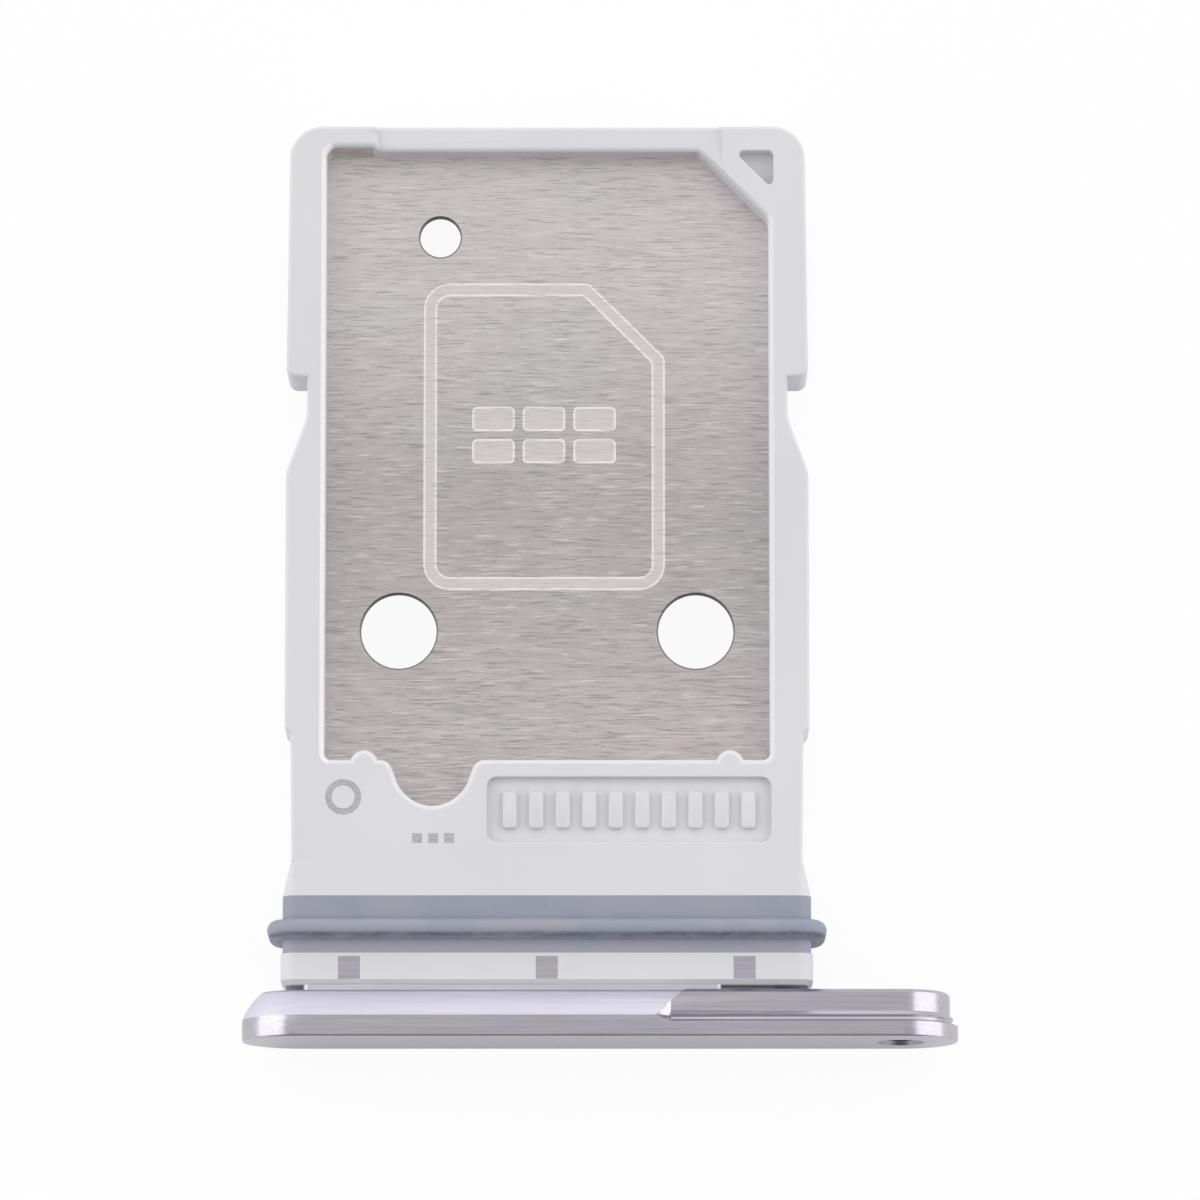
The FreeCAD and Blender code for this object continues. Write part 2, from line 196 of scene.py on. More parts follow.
def bridge(bm, first, second):
    """Wall between two like outlines."""
    return bmesh.ops.bridge_loops(bm, edges=first + second)["faces"]


def round_edges(bm, edges, radius, steps):
    """Rounds edges with steps facets."""
    return bmesh.ops.bevel(
        bm, geom=edges, offset=radius, offset_type="OFFSET", segments=steps, profile=0.5,
        affect="EDGES", material=-1, loop_slide=False, clamp_overlap=False,
    )


def make_piece(bm, name, finish):
    """Turns a finished drawing in millimetres into a smooth-shaded piece in metres, in its place."""
    bmesh.ops.recalc_face_normals(bm, faces=bm.faces)
    bmesh.ops.transform(bm, matrix=to_metres, verts=bm.verts)
    mesh = bpy.data.meshes.new(name)
    bm.to_mesh(mesh)
    bm.free()
    mesh.shade_smooth()
    mesh.set_sharp_from_angle(angle=sharp_angle)
    mesh.materials.append(finish)
    piece = bpy.data.objects.new(name, mesh)
    bpy.context.scene.collection.objects.link(piece)
    weighted = piece.modifiers.new("weighted_normals", "WEIGHTED_NORMAL")
    weighted.keep_sharp = True
    return piece


class Value:
    """A node's output that takes part in sums: each operation adds its Math node."""

    def __init__(self, finish, socket):
        self.finish = finish
        self.socket = socket

    def math(self, operation, *others):
        return self.finish.add("ShaderNodeMath", {"operation": operation}, [self, *others])

    def __add__(self, other):
        return self.math("ADD", other)

    __radd__ = __add__

    def __sub__(self, other):
        return self.math("SUBTRACT", other)

    def __rsub__(self, other):
        return self.finish.add("ShaderNodeMath", {"operation": "SUBTRACT"}, [other, self])

    def __mul__(self, other):
        return self.math("MULTIPLY", other)

    __rmul__ = __mul__


class Finish:
    """A material that is made of nodes. add() makes one node and returns one of its outputs."""

    def __init__(self, name, constants):
        self.material = bpy.data.materials.new(name)
        self.material.use_nodes = True
        self.tree = self.material.node_tree
        self.shader = self.tree.nodes["Principled BSDF"]
        for socket, value in constants.items():
            self.shader.inputs[socket].default_value = value

    def add(self, kind, settings, inputs, output=0):
        node = self.tree.nodes.new(kind)
        for name, value in settings.items():
            setattr(node, name, value)
        named = inputs.items() if isinstance(inputs, dict) else enumerate(inputs)
        for key, value in named:
            if isinstance(value, Value):
                self.tree.links.new(value.socket, node.inputs[key])
            else:
                node.inputs[key].default_value = value
        return Value(self, node.outputs[output])

    def feed(self, socket, value):
        self.tree.links.new(value.socket, self.shader.inputs[socket])

    def millimetres(self, scale=(1, 1, 1)):
        """Position on the piece in millimetres, stretched along each axis."""
        place = self.add("ShaderNodeTexCoord", {}, {}, "Object")
        size = [factor / MM for factor in scale]
        return self.add("ShaderNodeVectorMath", {"operation": "MULTIPLY"}, {0: place, 1: size})

    def layer(self, name):
        """How far the faces of a piece carry a mark, from 0 to 1."""
        return self.add("ShaderNodeAttribute", {"attribute_name": name}, {}, "Fac")

    def lengthwise(self):
        """Distance from the cap's back towards the tip, in millimetres."""
        return self.add("ShaderNodeSeparateXYZ", {}, {0: self.millimetres()}, "Y") - origin.y / MM

    def noise(self, scale, detail=2.0, roughness=0.5, shift=0.0, sway=None):
        """Smooth noise from 0 to 1, with scale cells a millimetre along each axis. Sway bends it along y."""
        place = self.millimetres(scale)
        if sway:
            bend = self.add("ShaderNodeCombineXYZ", {}, {"Y": sway * scale[1]})
            place = self.add("ShaderNodeVectorMath", {"operation": "ADD"}, {0: place, 1: bend})
        moved = self.add("ShaderNodeVectorMath", {"operation": "ADD"}, {0: place, 1: (shift, shift, shift)})
        inputs = {"Vector": moved, "Scale": 1.0, "Detail": detail, "Roughness": roughness}
        return self.add("ShaderNodeTexNoise", {}, inputs, "Fac")

    def spread(self, value, low, high):
        """Stretches a value so that low becomes 0 and high becomes 1, and no more."""
        inputs = {"Value": value, "From Min": low, "From Max": high}
        return self.add("ShaderNodeMapRange", {"clamp": True}, inputs)

    def blend(self, share, first, second):
        """Colour between two others."""
        return self.add("ShaderNodeMix", {"data_type": "RGBA"}, {0: share, 6: first, 7: second}, 2)

    def bump(self, height, depth):
        """Feeds the surface normal with a relief that is depth millimetres deep."""
        inputs = {"Strength": 1.0, "Distance": depth * MM, "Height": height}
        self.feed("Normal", self.add("ShaderNodeBump", {}, inputs))


def grey(tone):
    """Colour of a plain grey."""
    return (tone, tone, tone, 1)


def brushed_steel():
    """Stainless steel with short dark and bright scratches across the tray, paler where it is etched.

    Painted sheen makes the sheet a little brighter towards the tip and darker in its middle, painted light
    brightens it along the tip's wall, and painted shade darkens the hole walls and their rounded rims.
    """
    steel = Finish("brushed_steel", {"Metallic": 1.0})
    etched = steel.layer("etched")
    border = steel.layer("border")
    hole_shade = steel.layer("hole_shade")
    wave = steel.noise((0.5, 0.8, 0.8), detail=2, shift=11) * scratch_sway
    dark_lines = steel.noise((2.0, 29, 29), detail=3, roughness=0.6, sway=wave)
    bright_lines = steel.noise((2.0, 25, 25), detail=2, shift=7, sway=wave)
    groove = steel.spread(dark_lines, 0.49, 0.34)
    glint = steel.spread(bright_lines, 0.56, 0.72)
    soft = steel.spread(steel.noise((0.6, 9, 9), detail=3, shift=17, sway=wave), 0.3, 0.7)
    warm = steel.spread(steel.noise((0.35, 0.5, 0.5), detail=1, shift=3), 0.3, 0.7)
    ground = steel.blend(soft, steel.blend(warm, *dull_steel), steel.blend(warm, *clear_steel))
    # Painted sheen: brighter towards the tip and darker in the sheet's middle; painted light along the tip's
    # wall.
    along = steel.lengthwise()
    painted_sheen = steel.spread(along, dimming_below_y, sheen_above_y)
    painted_dimming = steel.spread(along, plain_below_y, dimming_above_y) * (1 - painted_sheen)
    painted_light = steel.spread(along, pocket_top_y - wall_light_margin, pocket_top_y)
    dimmed_ground = steel.blend(painted_dimming * dimming_share, ground, dimmed_steel_colour)
    bright = steel.blend(painted_sheen * sheen_share, dimmed_ground, sheen_steel_colour)
    sheet = steel.blend(painted_light * wall_light_share, bright, wall_light_steel_colour)
    grooved = steel.blend(groove * (1 - painted_sheen * sheen_cover), sheet, groove_colour)
    scratched = steel.blend(glint * glint_share, grooved, glint_colour)
    frost = steel.blend(groove * frost_share, *frost_colours)
    ridge = steel.blend(groove, *ridge_colours)
    marked = steel.blend(border, steel.blend(etched, scratched, frost), ridge)
    steel.feed("Base Color", steel.blend(hole_shade * hole_shade_share, marked, grey(hole_shade_grey)))
    steel.feed("Roughness", sheet_roughness + soft * soft_roughness + etched * etched_roughness)
    steel.bump(groove, scratch_depth)
    return steel.material


plate = bmesh.new()
etched_layer = plate.faces.layers.float.new("etched")
border_layer = plate.faces.layers.float.new("border")
hole_shade_layer = plate.faces.layers.float.new("hole_shade")
plate_plan = rectangle(
    plate_high.x - plate_low.x, plate_high.y - plate_low.y, plate_corner_radius,
    (plate_high.x + plate_low.x) / 2, (plate_high.y + plate_low.y) / 2,
)


def card_sign(inset):
    """Corners of the etched card outline, drawn an inset inside its outer edge."""
    radius = etched_radius - inset
    cut = etched_cut + inset * (math.sqrt(2) - 2)
    low = etched_low + inset
    high = etched_high - inset
    left = etched_left + inset
    right = etched_right - inset
    return [
        (left, low, radius), (right, low, radius), (right, high - cut, etched_cut_radius),
        (right - cut, high, etched_cut_radius), (left, high, radius),
    ]


sheet_edges = []
hole_edges = []
for z in (plate_low.z, plate_high.z):
    sheet_edges.append(outline(plate, plate_plan, level(z)))
    hole_edges.append([circle(plate, x, y, radius, level(z)) for x, y, radius in punched_holes])
sign_outer = outline(plate, card_sign(0), level(plate_top))
sign_inner = outline(plate, card_sign(etched_band), level(plate_top))
contacts = []
for column in range(contact_columns):
    for row in range(contact_rows):
        u = contacts_centre[0] + (column - (contact_columns - 1) / 2) * (contact_size[0] + contact_gap)
        v = contacts_centre[1] + (row - (contact_rows - 1) / 2) * (contact_size[1] + contact_gap)
        contacts.append(outline(plate, rectangle(*contact_size, contact_radius, u, v), level(plate_top)))
fill(plate, sheet_edges[0], *hole_edges[0], up=(0, 0, -1))
fill(plate, sheet_edges[1], *hole_edges[1], sign_outer)
fill(plate, sign_inner, *contacts)
signs = [fill(plate, sign_outer, sign_inner)] + [fill(plate, contact) for contact in contacts]
bridge(plate, sheet_edges[0], sheet_edges[1])
# Painted shade: the hole walls and their rounded upper rims are painted dark.
for below, above in zip(*hole_edges):
    for face in bridge(plate, below, above):
        face[hole_shade_layer] = 1
for faces in signs:
    for face in faces:
        face[etched_layer] = 1
    border = bmesh.ops.inset_region(
        plate, faces=faces, thickness=etched_border, depth=-etched_sink, use_even_offset=True
    )
    for face in border["faces"]:
        face[border_layer] = 1
upper_rims = [edge for one in hole_edges[1] for edge in one]
for face in round_edges(plate, upper_rims, hole_roll, soft_steps)["faces"]:
    face[hole_shade_layer] = 1
steel_plate = make_piece(plate, "steel_plate", brushed_steel())
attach(steel_plate, "root")
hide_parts("floor_plate")

# Plastic frame: one white moulding with a card pocket in each face, moulded around the plate's rim. A nose
# with rounded corners enters the phone first, two notches latch it, and a neck carries the seal and foot.
deck_z = frame_high.z
pocket_width = 8.92
rail_width = 0.79
edge_radius = 0.08
rim_facets = 5
nose_taper = 0.06
nose_radius = 0.65
latch_depth = 0.42
latch_flat = 0.81
latch_ramp = 1.12
latch_from_tip = 5.16
latch_outer_radius = 0.20
latch_ramp_radius = 0.90
waist_inset = 0.12
waist_ramp = 0.14
waist_from_pocket = 0.57
waist_radius = 0.10
neck_taper = 0.03
neck_straight = 0.30
neck_bend_radius = 15.0
pocket_cut = 1.40
pocket_cut_radius = 0.16
pocket_radius = 0.14
pocket_lead_in = 0.10
lead_in_steps = 4
highlight_left = 1.0
highlight_right = 0.55
highlight_foot = 0.35
relief_depth = 0.09
relief_radius = 0.22
relief_end_radius = 0.08
nub_radius = 0.28
nub_height = 0.20
nub_from_side = 0.80
finger_width = 1.74
finger_depth = 0.925
finger_lean = math.radians(20)
finger_flat = 0.02
finger_shoulder = 0.24
finger_x = -2.295
dip_depth = 0.10
dip_half = 3.41
dip_slope = 0.12
relief_end = -dip_half - dip_slope
web_width = 0.42
recess_depth = 0.30
recess_radius = 0.10
panel_size = (5.69, 1.31)
panel_radius = 0.20
panel_centre = (1.64, pocket_bottom_y - 1.015)
panel_depth = 0.15
rib_count = 10
rib_pitch = 0.53
rib_size = (0.28, 0.74)
rib_radius = 0.07
rib_height = 0.11
ring_centre = (-4.07, 3.87)
ring_radii = (0.36, 0.23)
tick_row = (-2.27, 3.04)
tick_pitch = 0.32
tick_size = 0.20
soft_edge = 0.03
skin_depth = 0.002
plastic_roughness = 0.42
plastic_ior = 1.48
plastic_colours = ((0.675, 0.668, 0.700, 1), (0.695, 0.693, 0.718, 1))
lead_in_highlight_colour = (0.835, 0.825, 0.845, 1)
stain_colour = (0.49, 0.42, 0.39, 1)
mark_colours = (grey(0.36), grey(0.50))
body_half = pocket_width / 2 + rail_width
neck_half = body_half - waist_inset - neck_taper
seal_front_y = 0.74
seal_back_y = 1.89
neck_end_y = 2.59
flare_steps = 4
neck_radius = 0.30
seal_half = 5.275
seal_wall = 0.22
foot_half = 5.31
foot_chamfer = 0.10
tongue_half = 4.55
tongue_half_height = 0.30
tongue_end_y = 2.40
boss_half = 0.22
boss_pitch = 3.94
boss_inset = 0.005
boss_low_y = pad_length + foot_chamfer + boss_inset
boss_high_y = 0.67


def upright(y):
    """Places a flat drawing across the tray at a distance y, its second axis pointing up."""
    return Matrix.Translation((0, y, 0)) @ Matrix.Rotation(math.radians(90), 4, "X")


def sleeve(bm, rings):
    """Walls from outline to outline along the tray. A step between two in one plane is a flat ring."""
    for first, second in zip(rings, rings[1:]):
        if abs(first[0].verts[0].co.y - second[0].verts[0].co.y) < same_point:
            fill(bm, first, second, up=(0, 1, 0))
        else:
            bridge(bm, first, second)


def in_order(bm):
    """The same drawing with its edges and faces sorted, because bevel leaves them in a chance order."""
    bm.verts.index_update()
    for items in (bm.edges, bm.faces):
        ranked = sorted(items, key=lambda item: sorted(vert.index for vert in item.verts))
        rank = {item: i for i, item in enumerate(ranked)}
        items.sort(key=rank.get)
    ordered = bm.copy()
    bm.free()
    return ordered


def frame_side(side):
    """Corners of one side of the frame in plan, from the neck to the nose, for side 1 or -1."""
    waist_y = pocket_bottom_y + waist_from_pocket
    latch_y = tip_y - latch_from_tip
    ramp_y = latch_y - latch_flat
    corners = [
        (neck_half, neck_end_y, 0),
        (neck_half, neck_end_y + neck_straight, neck_bend_radius),
        (body_half - waist_inset, waist_y - waist_ramp / 2, waist_radius),
        (body_half, waist_y + waist_ramp / 2, waist_radius),
        (body_half, ramp_y - latch_ramp, latch_ramp_radius),
        (body_half - latch_depth, ramp_y, latch_ramp_radius),
        (body_half - latch_depth, latch_y, 0),
        (body_half, latch_y, latch_outer_radius),
        (body_half - nose_taper, tip_y, nose_radius),
    ]
    return [(side * x, y, radius) for x, y, radius in corners]


def nub(x):
    """Corners of a round nub that grips the card's end."""
    reach = math.sqrt(nub_height * (2 * nub_radius - nub_height))
    side = nub_height * nub_radius / reach
    top = pocket_bottom_y + nub_height
    return [
        (x - reach, pocket_bottom_y, 0), (x - side, top, nub_radius),
        (x + side, top, nub_radius), (x + reach, pocket_bottom_y, 0),
    ]


def pocket_plan():
    """Corners of the card pocket with its nubs, finger notch, cut corner and corner relief."""
    half = pocket_width / 2
    mouth = finger_width / 2
    floor = mouth - finger_depth * math.tan(finger_lean)
    bottom = pocket_bottom_y - finger_depth
    radius = (floor - finger_flat / 2) / math.tan((math.pi / 2 - finger_lean) / 2)
    return [
        (-half, pocket_bottom_y, pocket_radius),
        *nub(nub_from_side - half),
        (finger_x - mouth, pocket_bottom_y, finger_shoulder),
        (finger_x - floor, bottom, radius),
        (finger_x + floor, bottom, radius),
        (finger_x + mouth, pocket_bottom_y, finger_shoulder),
        *nub(half - nub_from_side),
        (half, pocket_bottom_y, pocket_radius),
        (half, pocket_top_y - pocket_cut, pocket_cut_radius),
        (half - pocket_cut, pocket_top_y, pocket_cut_radius),
        (-dip_half, pocket_top_y, relief_end_radius),
        (relief_end, pocket_top_y + relief_depth, relief_end_radius),
        (-half, pocket_top_y + relief_depth, relief_radius),
    ]


def recess_plan():
    """Corners of the blind triangular recess behind the pocket's cut corner."""
    leg = pocket_cut - web_width * math.sqrt(2)
    x = pocket_width / 2 + pocket_lead_in
    return [
        (x, pocket_top_y - leg, recess_radius),
        (x, pocket_top_y, recess_radius),
        (x - leg, pocket_top_y, recess_radius),
    ]


def white_plastic():
    """White moulded plastic, faintly mottled, with a fine matt skin and grainy grey laser marks.

    A painted highlight makes it paler along the pocket's thin lead-in, most on the left side, and it is
    stained brown in the pocket's relief.
    """
    plastic = Finish("white_plastic", {"Roughness": plastic_roughness, "IOR": plastic_ior})
    marked = plastic.layer("marked")
    lead_in_highlight = plastic.layer("lead_in_highlight")
    stained = plastic.layer("stained")
    mottle = plastic.spread(plastic.noise((0.35, 0.35, 0.35), detail=2), 0.35, 0.65)
    grain = plastic.spread(plastic.noise((26, 26, 26), detail=2, shift=5), 0.35, 0.65)
    body = plastic.blend(mottle, *plastic_colours)
    burnt = plastic.blend(grain, *mark_colours)
    painted_light = plastic.blend(lead_in_highlight, body, lead_in_highlight_colour)
    blot = plastic.spread(plastic.noise((4, 4, 4), detail=3, shift=13), 0.20, 0.60)
    soiled = plastic.blend(stained * blot, painted_light, stain_colour)
    plastic.feed("Base Color", plastic.blend(marked, soiled, burnt))
    plastic.bump(plastic.noise((18, 18, 18), detail=3), skin_depth)
    return plastic.material


deck = bmesh.new()
marked_layer = deck.faces.layers.float.new("marked")
lead_in_highlight_layer = deck.faces.layers.float.new("lead_in_highlight")
stained_layer = deck.faces.layers.float.new("stained")
frame_plan = frame_side(1) + frame_side(-1)[::-1]
outer = {side: outline(deck, frame_plan, level(side * deck_z)) for side in (-1, 1)}
pocket_rim = {side: outline(deck, pocket_plan(), level(side * deck_z)) for side in (-1, 1)}
slot_rim = {side: outline(deck, plate_plan, level(side * plate_top)) for side in (-1, 1)}
recess_rim = {side: outline(deck, recess_plan(), level(side * deck_z)) for side in (-1, 1)}
recess_foot = {
    side: outline(deck, recess_plan(), level(side * (deck_z - recess_depth))) for side in (-1, 1)
}
panel_plan = rectangle(*panel_size, panel_radius, *panel_centre)
panel_rim = outline(deck, panel_plan, level(deck_z))
panel_foot = outline(deck, panel_plan, level(deck_z - panel_depth))
ribs = []
for i in range(rib_count):
    x = panel_centre[0] + (i - (rib_count - 1) / 2) * rib_pitch
    plan = rectangle(*rib_size, rib_radius, x, panel_centre[1])
    ribs.append([outline(deck, plan, level(deck_z - panel_depth + rise)) for rise in (0, rib_height)])
ring = [circle(deck, *ring_centre, radius, level(deck_z)) for radius in ring_radii]
ticks = []
for i in (-1, 0, 1):
    plan = rectangle(tick_size, tick_size, 0, tick_row[0] + i * tick_pitch, tick_row[1])
    ticks.append(outline(deck, plan, level(deck_z)))

fill(deck, outer[1], pocket_rim[1], recess_rim[1], panel_rim, ring[0], *ticks)
fill(deck, outer[-1], pocket_rim[-1], recess_rim[-1], up=(0, 0, -1))
fill(deck, ring[1])
marks = fill(deck, *ring)
for tick in ticks:
    marks += fill(deck, tick)
for face in marks:
    face[marked_layer] = 1
for side in (-1, 1):
    fill(deck, recess_foot[side], up=(0, 0, side))
    bridge(deck, recess_rim[side], recess_foot[side])
    # The pocket's wall goes straight down, apart from the relief, where it comes back to the pocket's end.
    pocket_foot = outline(deck, pocket_plan(), level(side * plate_top))
    feet = once(vert for edge in pocket_foot for vert in edge.verts)
    corner = [
        vert for vert in feet
        if vert.co.y > pocket_top_y - relief_radius and vert.co.x < relief_end - relief_end_radius / 2
    ]
    bmesh.ops.translate(deck, verts=corner, vec=(0, -relief_depth, 0))
    bend = [vert for vert in feet if vert.co.y > pocket_top_y]
    bmesh.ops.scale(deck, verts=bend, vec=(1, 0, 1), space=Matrix.Translation((0, -pocket_top_y, 0)))
    for face in bridge(deck, pocket_rim[side], pocket_foot):
        middle = face.calc_center_median()
        in_relief = middle.y > pocket_top_y - relief_radius / 2 and middle.x < relief_end
        face[stained_layer] = in_relief and side == 1
    fill(deck, pocket_foot, slot_rim[side], up=(0, 0, -side))
fill(deck, panel_foot, *[foot for foot, top in ribs])
for foot, top in ribs:
    fill(deck, top)
    bridge(deck, foot, top)
bridge(deck, panel_rim, panel_foot)
bridge(deck, slot_rim[-1], slot_rim[1])
bridge(deck, outer[-1], outer[1])

outer_edges = [
    edge for side in (-1, 1) for edge in outer[side]
    if any(vert.co.y > neck_end_y + same_point for vert in edge.verts)
]
soft_edges = [edge for foot, top in ribs for edge in top] + recess_rim[-1] + recess_rim[1] + panel_rim
round_edges(deck, outer_edges, edge_radius, rim_facets)
# Painted highlight on the pocket's lead-in: full on the left side, weaker on the right, faint at the foot,
# none elsewhere.
for face in round_edges(deck, pocket_rim[-1] + pocket_rim[1], pocket_lead_in, lead_in_steps)["faces"]:
    middle = face.calc_center_median()
    at_side = abs(abs(middle.x) - pocket_width / 2) < pocket_lead_in
    at_foot = middle.y < pocket_bottom_y + nub_height
    face[stained_layer] = 0
    highlight_side = highlight_left if middle.x < 0 else highlight_right
    face[lead_in_highlight_layer] = highlight_side if at_side else highlight_foot * at_foot
round_edges(deck, soft_edges, soft_edge, soft_steps)
deck = in_order(deck)

# The tip rail's middle is lowered between two short slopes.
for x in (relief_end, -dip_half, dip_half, -relief_end):
    rail = [face for face in deck.faces if max(vert.co.y for vert in face.verts) > pocket_top_y - same_point]
    around = once(item for face in rail for item in (*face.verts, *face.edges)) + rail
    bmesh.ops.bisect_plane(deck, geom=around, dist=same_point / 10, plane_co=(x, 0, 0), plane_no=(1, 0, 0))
lowered = [
    vert for vert in deck.verts
    if abs(vert.co.x) < dip_half + same_point
    and vert.co.y > pocket_top_y - pocket_lead_in - same_point
    and vert.co.z > deck_z - pocket_lead_in - same_point
]
bmesh.ops.translate(deck, verts=lowered, vec=(0, 0, -dip_depth))

# The neck widens to the seal, carries it on a thinner core and ends in the foot.
neck_end = [
    face for face in deck.faces if all(abs(vert.co.y - neck_end_y) < same_point for vert in face.verts)
]
bmesh.ops.delete(deck, geom=neck_end, context="FACES_ONLY")
last = [edge for edge in deck.edges if edge.is_boundary]
sections = []
for step in range(flare_steps):
    share = (step + 1) / flare_steps
    y = neck_end_y + (seal_back_y - neck_end_y) * share
    half = neck_half + (seal_half - neck_half) * share
    sections.append((y, half, deck_z, edge_radius + (neck_radius - edge_radius) * share))
core = (seal_half - seal_wall, deck_z - seal_wall, neck_radius - seal_wall)
foot_front_y = pad_length
sections += [
    (seal_back_y, *core),
    (seal_front_y, *core),
    (seal_front_y, foot_half, deck_z, neck_radius),
    (foot_front_y + foot_chamfer, foot_half, deck_z, neck_radius),
    (foot_front_y, foot_half - foot_chamfer, deck_z - foot_chamfer, neck_radius - foot_chamfer),
]
rings = [last]
for y, half, half_height, radius in sections:
    rings.append(outline(deck, rectangle(2 * half, 2 * half_height, radius), upright(y), rim_facets))
sleeve(deck, rings)

# The foot holds the end cap's tongue, whose square bosses show in both of its faces.
tongue_plan = rectangle(2 * tongue_half, 2 * tongue_half_height, 0)
mouth = outline(deck, tongue_plan, upright(foot_front_y))
slot_end = outline(deck, tongue_plan, upright(tongue_end_y))
fill(deck, rings[-1], mouth, up=(0, -1, 0))
fill(deck, slot_end, up=(0, -1, 0))
bridge(deck, mouth, slot_end)
boss_plans = [
    rectangle(2 * boss_half, boss_high_y - boss_low_y, 0, step * boss_pitch, (boss_low_y + boss_high_y) / 2)
    for step in (-1, 0, 1)
]
for side in (-1, 1):
    windows = []
    for height, back_y in ((deck_z, seal_front_y), (tongue_half_height, tongue_end_y)):
        flat = [
            face for face in deck.faces
            if all(abs(vert.co.z - side * height) < same_point for vert in face.verts)
            and foot_front_y + foot_chamfer < face.calc_center_median().y < back_y
        ]
        flat_rim = once(edge for face in flat for edge in face.edges)
        bmesh.ops.delete(deck, geom=flat, context="FACES_ONLY")
        squares = [outline(deck, plan, level(side * height)) for plan in boss_plans]
        fill(deck, flat_rim, *squares, up=(0, 0, side))
        windows.append(squares)
    for above, below in zip(*windows):
        bridge(deck, above, below)

moulded_frame = make_piece(deck, "moulded_frame", white_plastic())
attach(moulded_frame, "root")
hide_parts("tray_frame")

# Seal: a band of blue-grey silicone, moulded around the neck's core. Its round bead is squeezed against the
# wall of the phone's slot, and keeps water and dust out.
bead_y = 1.215
bead_half_width = 0.195
bead_height = 0.31
bead_root = bead_height - bead_half_width
bead_facets = 16
seal_facets = 10
grime_and_shade_ahead = 0.13
grime_and_shade_y = bead_y - grime_and_shade_ahead
grime_and_shade_half = 0.07
grime_and_shade_sway = 0.09
grime_and_shade_least = 0.4
grime_and_shade_patches = 0.4
front_fade = 0.02
lit_front_share = 0.6
dust_share = 0.4
grain_depth = 0.004
silicone_roughness = 0.48
silicone_ior = 1.43
silicone_colours = ((0.282, 0.306, 0.375, 1), (0.324, 0.324, 0.386, 1))
lit_front_colour = (0.370, 0.385, 0.460, 1)
dust_colour = grey(0.55)
grime_and_shade_colour = (0.075, 0.078, 0.100, 1)


def silicone():
    """Blue-grey silicone with a satin skin, cloudy patches and fine dust; grime and painted shade darken the
    bead's front flank, and painted light makes the band in front of the bead paler.
    """
    rubber = Finish("blue_grey_silicone", {"Roughness": silicone_roughness, "IOR": silicone_ior})
    cloud = rubber.spread(rubber.noise((0.7, 1.2, 1.2), detail=3), 0.35, 0.65)
    dust = rubber.spread(rubber.noise((7, 7, 7), detail=2, shift=4), 0.74, 0.78)
    along = rubber.lengthwise()
    # Grime and painted shade: a ragged dark band along the bead's front flank.
    ragged = along + (rubber.noise((3, 3, 3), detail=5, roughness=0.7, shift=2) - 0.5) * grime_and_shade_sway
    patchy = rubber.spread(rubber.noise((2.5, 6, 6), detail=4, roughness=0.65, shift=8), 0.34, 0.60)
    near = rubber.spread(ragged, grime_and_shade_y - grime_and_shade_half, grime_and_shade_y)
    grime_and_shade = near * rubber.spread(ragged, grime_and_shade_y + grime_and_shade_half, grime_and_shade_y) * (grime_and_shade_least + patchy * grime_and_shade_patches)
    tone = rubber.blend(cloud, *silicone_colours)
    # Painted light: the band in front of the bead is painted paler.
    bead_front_y = bead_y - bead_half_width
    ahead = rubber.spread(along, bead_front_y + front_fade, bead_front_y)
    body = rubber.blend(ahead * lit_front_share, tone, lit_front_colour)
    dusty = rubber.blend(dust * dust_share, body, dust_colour)
    rubber.feed("Base Color", rubber.blend(grime_and_shade, dusty, grime_and_shade_colour))
    rubber.bump(rubber.noise((12, 12, 12), detail=3), grain_depth)
    return rubber.material


def seal_section(bm, y, proud):
    """Outline of the seal across the tray, proud of its band."""
    plan = rectangle(2 * (seal_half + proud), 2 * (deck_z + proud), neck_radius + proud)
    return outline(bm, plan, upright(y), seal_facets)


seal = bmesh.new()
profile = [(seal_back_y, 0), (bead_y + bead_half_width, 0)]
for step in range(bead_facets + 1):
    turn = math.pi * step / bead_facets
    profile.append((bead_y + bead_half_width * math.cos(turn), bead_root + bead_half_width * math.sin(turn)))
profile += [(bead_y - bead_half_width, 0), (seal_front_y, 0)]
rings = [seal_section(seal, y, proud) for y, proud in profile]
sleeve(seal, rings)
core_plan = rectangle(2 * core[0], 2 * core[1], core[2])
bore = [outline(seal, core_plan, upright(y), rim_facets) for y in (seal_front_y, seal_back_y)]
bridge(seal, *bore)
fill(seal, rings[-1], bore[0], up=(0, -1, 0))
fill(seal, rings[0], bore[1], up=(0, 1, 0))
bead_seal = make_piece(seal, "bead_seal", silicone())
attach(bead_seal, "root")
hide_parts("neck_seal")

# End cap: machined from aluminium bar and anodised pale grey, it closes the slot in the phone's side. Its
# tongue is moulded into the foot, and an eject pin passes through the hole at one end.
cap_low, cap_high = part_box("end_cap")
cap_low = (cap_low - origin) / MM
cap_high = (cap_high - origin) / MM
cap_half = cap_high.z
cap_middle_x = (cap_high.x + cap_low.x) / 2
cap_length = cap_high.x - cap_low.x
cap_depth = -cap_low.y
cap_facets = 20
front_radius = 0.05
front_facets = 4
shoulder_depth = 0.54
shoulder_radius = 1.25
shoulder_start = math.radians(20)
shoulder_facets = 12
tier_inset = 0.16
tier_front = 0.31
lip_width = 0.045
groove_width = 0.095
groove_depth = 0.03
ridge_width = 0.08
ridge_height = 0.07
back_chamfer = 0.06
block_start = 2.47
block_runout = 0.28
ramp_run = 0.30
ramp_reach = 1.3
overrun = 0.004
cut_lead = 0.10
shoulder_normal = 0.30
edge_line = 0.03
pad_light_share = 0.5
chamfer_shade_share = 0.4
pin_radius = 0.40
pin_chamfer = 0.08
pad_size = (8.34, 1.50)
pad_x = -0.68
pad_radius = 0.10
boss_sink = 0.02
line_depth = 0.0008
dark_metal = ((0.478, 0.460, 0.530, 1), (0.491, 0.469, 0.510, 1))
